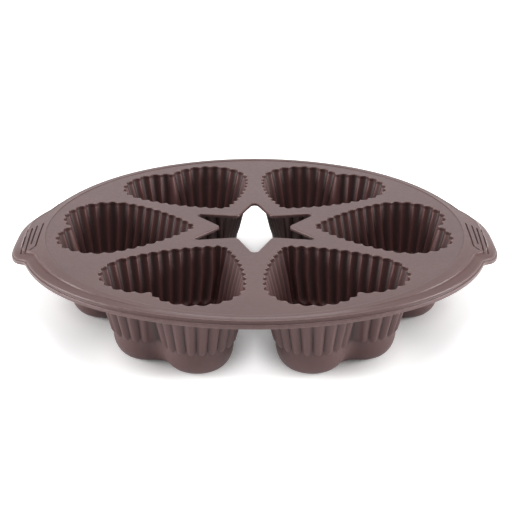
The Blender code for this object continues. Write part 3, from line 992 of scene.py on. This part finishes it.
def floor_material(stage):
    """Matt white studio floor with a painted glow that fades under the mould as painted shadow and is
    brighter along a strip.
    """
    material, make, shader = new_material("studio floor")
    place = make.add("ShaderNodeTexCoord", output="Object")
    cloud = {"Vector": place, "Scale": 3.0, "Detail": 2.0}
    cloud = make.add("ShaderNodeTexNoise", cloud, "Fac")
    # Painted contact shadow round each cup.
    nearest = None
    for number in range(len(CUP_NODES)):
        cup = (*turned(CUP_SHADE_PLACE, 0.0, cup_turn(number)), 0.0)
        gap = make.add("ShaderNodeVectorMath", {0: place, 1: cup}, "Value", operation="DISTANCE")
        nearest = gap if nearest is None else make.math("MINIMUM", nearest, gap)
    x, y = (make.add("ShaderNodeSeparateXYZ", {0: place}, name) for name in "XY")
    painted_contact_shadow = make.smooth(nearest, CUP_SHADE, CUP_SHADE_LEAST, 1.0)
    x, y = (make.math("ABSOLUTE", value) for value in (x, y))
    # Painted shadow under the web, beside and ahead of the middle.
    beside = make.smooth(x, WEB_SHADE_X, WEB_SHADE_MOST, 0.0)
    ahead = make.smooth(y, WEB_SHADE_Y, 1.0, 0.0)
    # Painted light: a brighter strip along the middle and to the back.
    strip = make.smooth(x, STRIP_X, 1.0, 0.0) * make.smooth(y, STRIP_Y, 1.0, 0.0)
    glow = strip * (stage.glow - stage.side_glow) + stage.side_glow
    looks = {
        "Base Color": (*stage.floor_colour, 1.0),
        "Roughness": make.ramp(cloud, 0.0, 1.0, 0.62, 0.70),
        "Specular IOR Level": 0.15,
        "Emission Color": WHITE,
        "Emission Strength": glow * (1.0 - beside * ahead) * painted_contact_shadow,
    }
    make.feed(shader, looks)
    return material


def aim(item, target):
    """Turn a light or camera towards a point."""
    line = Vector(target) - item.location
    item.rotation_euler = line.to_track_quat("-Z", "Y").to_euler()


def softbox(name, place, width, depth, power, reflection):
    """Add a soft rectangular light."""
    light = bpy.data.lights.new(name, "AREA")
    light.shape = "RECTANGLE"
    light.size = width
    light.size_y = depth
    light.energy = power
    item = link_new(name, light)
    item.location = place
    aim(item, SOFTBOX_TARGET)
    if reflection:
        item.visible_diffuse = False
        light.color = REFLECTION_TINT


def heart_hole(shell, path, sizes, turn):
    """Add the rings of a heart opening, from top to bottom."""
    top = sizes.web_top
    bottom = top - sizes.web_thickness
    rounding = sizes.opening_rounding

    def ring(height, flare, fluted=1.0, edge=0.0):
        return path.ring(
            shell, height, turn, flare=flare, fluted=fluted, level=ABOVE_FLUTE_ENDS, edge=edge
        )

    rings = [ring(top, rounding + HOLE_MARGIN, 0.0)]
    # The rounded edge is lightened: partly rubbing, partly a painted highlight.
    for fall, flare, wear_and_highlight in fillet(rounding, OPENING_STEPS):
        rings.append(ring(top - fall, flare, edge=wear_and_highlight))
    rings += [ring(bottom, 0.0), ring(bottom, HOLE_MARGIN, 0.0)]
    return shell.loft(*rings)


def star_hole(shell, path, sizes):
    """Add the rings of the star hole, from top to bottom."""
    top = sizes.web_top
    bottom = top - sizes.web_thickness
    rounding = sizes.star_edge
    outline = star_outline(sizes, path.tip_out)
    rings = [outline_ring(shell, outline, rounding + HOLE_MARGIN, top)]
    # The rounded edges are lightened: partly rubbing, partly a painted highlight.
    for fall, offset, wear_and_highlight in fillet(rounding, EDGE_STEPS):
        rings.append(outline_ring(shell, outline, offset, top - fall, wear_and_highlight))
    for offset, rise, _ in fillet(LOWER_ROUNDING, ARC_STEPS):
        rings.append(outline_ring(shell, outline, offset, bottom + rise, LOWER_WEAR_AND_HIGHLIGHT))
    rings.append(outline_ring(shell, outline, LOWER_ROUNDING + HOLE_MARGIN, bottom))
    return shell.loft(*rings)


def web_edge(shell, sizes, rim):
    """Add the rings of the web's round edge with its crease."""
    top = sizes.web_top
    edge = sizes.web_radius
    rings = [circle(shell, edge - WEB_MARGIN, top)]
    for step in range(ARC_STEPS + 1):
        part = step / ARC_STEPS
        radius = edge - CREASE_WIDTH * (1.0 - part)
        rings.append(circle(shell, radius, top, rim.crease * part ** 2))
    rings.append(circle(shell, edge, top - sizes.web_thickness))
    return shell.loft(*rings)


def tree_values(inputs, settings, context, material):
    """Values for a tree's inputs, with a new material of the silicone."""
    values = {label: getattr(settings, name) for label, name in inputs.items()}
    values["Material"] = silicone_material(material, context.scene.mould_finish)
    return values


class MOULD_OT_web(bpy.types.Operator):
    """Build the flat web with its fluted heart openings and star hole"""

    bl_idname = "mould.web"
    bl_label = "Build Web"

    def execute(self, context):
        sizes = context.scene.mould_sizes
        flutes = context.scene.mould_flutes
        path = HeartPath(sizes, flutes, 0.0, sizes.cleft_radius)
        shell = Shell()
        holes = [heart_hole(shell, path, sizes, cup_turn(number)) for number in range(len(CUP_NODES))]
        holes.append(star_hole(shell, path, sizes))
        edge = web_edge(shell, sizes, context.scene.mould_rim)
        for face in range(2):
            shell.fill(edge[face], [hole[face] for hole in holes])
        item = shell.make("silicone_web")
        values = tree_values(FLUTE_INPUTS, flutes, context, "silicone web")
        apply_tree(item, flute_tree(), values)
        finish_piece(item, "top_web")
        return {"FINISHED"}


class MOULD_OT_cups(bpy.types.Operator):
    """Build the six thin-walled heart cups"""

    bl_idname = "mould.cups"
    bl_label = "Build Cups"

    def execute(self, context):
        sizes = context.scene.mould_sizes
        flutes = context.scene.mould_flutes
        top = sizes.web_top - sizes.web_thickness
        wall = sizes.cup_wall
        inside = cup_profile(sizes, flutes, 0.0, sizes.cleft_radius, top, wall)
        outside = cup_profile(
            sizes, flutes, wall, sizes.outer_cleft_radius, top, 0.0, flutes.root_rounding
        )
        tree = flute_tree()
        values = tree_values(FLUTE_INPUTS, flutes, context, "silicone cups")
        for number, node in enumerate(CUP_NODES):
            turn = cup_turn(number)
            shell = Shell()
            inner = cup_skin(shell, inside, turn, -1.0)
            shell.loft(inner, cup_skin(shell, outside, turn, 1.0))
            item = shell.make("silicone_" + node)
            apply_tree(item, tree, values)
            finish_piece(item, node)
        return {"FINISHED"}


class MOULD_OT_rim(bpy.types.Operator):
    """Build the front and back arcs of the rim"""

    bl_idname = "mould.rim"
    bl_label = "Build Rim"

    def execute(self, context):
        plan = PlanOutline(context.scene.mould_sizes, context.scene.mould_rim)
        material = silicone_material("silicone rim", context.scene.mould_finish)
        for node, start in (("rim_back", 0.0), ("rim_front", math.pi)):
            end = start + math.pi - plan.seam
            item = sweep_rim(node, plan, start + plan.seam, end, RIM_DEGREES, RIM_ROWS)
            item.data.materials.append(material)
            finish_piece(item, node)
        return {"FINISHED"}


class MOULD_OT_handles(bpy.types.Operator):
    """Build the two handles with their grip grooves"""

    bl_idname = "mould.handles"
    bl_label = "Build Handles"

    def execute(self, context):
        rim = context.scene.mould_rim
        plan = PlanOutline(context.scene.mould_sizes, rim)
        tree = groove_tree()
        values = tree_values(GROOVE_INPUTS, rim, context, "silicone handles")
        for node, middle, side in (("handle_right", 0.0, -1.0), ("handle_left", math.pi, 1.0)):
            start = middle - plan.seam
            end = middle + plan.seam
            item = sweep_rim(node, plan, start, end, HANDLE_DEGREES, HANDLE_ROWS)
            values["Guides"] = groove_guides(side)
            apply_tree(item, tree, values)
            bpy.data.objects.remove(values["Guides"])
            finish_piece(item, node)
        return {"FINISHED"}


def groove_guides(side):
    """Guide lines of one handle's grooves, laid flat."""
    points = []
    edges = []
    for line in GROOVES:
        start = len(points)
        points += [(side * x, y, 0.0) for x, y in line]
        edges += [(number, number + 1) for number in range(start, len(points) - 1)]
    mesh = bpy.data.meshes.new("groove guides")
    mesh.from_pydata(points, edges, [])
    return link_new("groove guides", mesh)


class MOULD_OT_stage(bpy.types.Operator):
    """Add the pale floor, the soft lights and the camera"""

    bl_idname = "mould.stage"
    bl_label = "Set Stage"

    def execute(self, context):
        scene = context.scene
        stage = scene.mould_stage
        half = stage.floor_size / 2.0
        corners = ((-half, -half), (half, -half), (half, half), (-half, half))
        mesh = bpy.data.meshes.new("studio_floor")
        mesh.from_pydata([(x, y, -stage.floor_gap) for x, y in corners], [], [(0, 1, 2, 3)])
        mesh.materials.append(floor_material(stage))
        floor = link_new("studio_floor", mesh)
        for name, setting, place, width, depth, reflection in SOFTBOXES:
            softbox(name, place, width, depth, getattr(stage, setting), reflection)
        world = bpy.data.worlds.new("pale surroundings")
        world.use_nodes = True
        background = world.node_tree.nodes["Background"]
        background.inputs["Color"].default_value = WHITE
        background.inputs["Strength"].default_value = stage.sky
        scene.world = world
        scene.view_settings.view_transform = "Standard"
        self.add_camera(context, stage)
        return {"FINISHED"}

    def add_camera(self, context, stage):
        """Camera at the photo's angle, with the web's centre a little above the middle."""
        data = bpy.data.cameras.new("camera")
        data.lens = stage.lens
        data.sensor_width = SENSOR_WIDTH
        camera = link_new("camera", data)
        centre = Vector((0.0, 0.0, context.scene.mould_sizes.web_top))
        away = Vector((0.0, -math.cos(stage.elevation), math.sin(stage.elevation)))
        camera.location = centre + away * stage.distance
        aim(camera, centre + Vector(CAMERA_AIM))
        context.scene.camera = camera


class MOULD_PT_panel(bpy.types.Panel):
    """Lists the steps that build the mould"""

    bl_label = "Heart Mould"
    bl_idname = "MOULD_PT_panel"
    bl_space_type = "VIEW_3D"
    bl_region_type = "UI"
    bl_category = "Mould"

    def draw(self, context):
        layout = self.layout
        for step in STEPS:
            layout.operator(step.bl_idname, text=step.bl_label)
        for group, kind in GROUPS.items():
            box = layout.box()
            for name in kind.__annotations__:
                box.prop(getattr(context.scene, group), name)


STEPS = (MOULD_OT_web, MOULD_OT_cups, MOULD_OT_rim, MOULD_OT_handles, MOULD_OT_stage)
GROUPS = {
    "mould_sizes": MouldSizes,
    "mould_flutes": FluteSizes,
    "mould_rim": RimSizes,
    "mould_finish": Finish,
    "mould_stage": StageSettings,
}


def register():
    """Register the settings, the steps and the panel."""
    for name, group in GROUPS.items():
        bpy.utils.register_class(group)
        setattr(bpy.types.Scene, name, bpy.props.PointerProperty(type=group))
    for item in (*STEPS, MOULD_PT_panel):
        bpy.utils.register_class(item)


def unregister():
    """Take away what register added."""
    for item in (MOULD_PT_panel, *reversed(STEPS)):
        bpy.utils.unregister_class(item)
    for name, group in reversed(list(GROUPS.items())):
        delattr(bpy.types.Scene, name)
        bpy.utils.unregister_class(group)


def main():
    """Build everything in order."""
    register()
    bpy.ops.mould.web()
    bpy.ops.mould.cups()
    bpy.ops.mould.rim()
    bpy.ops.mould.handles()
    bpy.ops.mould.stage()


if __name__ == "__main__":
    main()
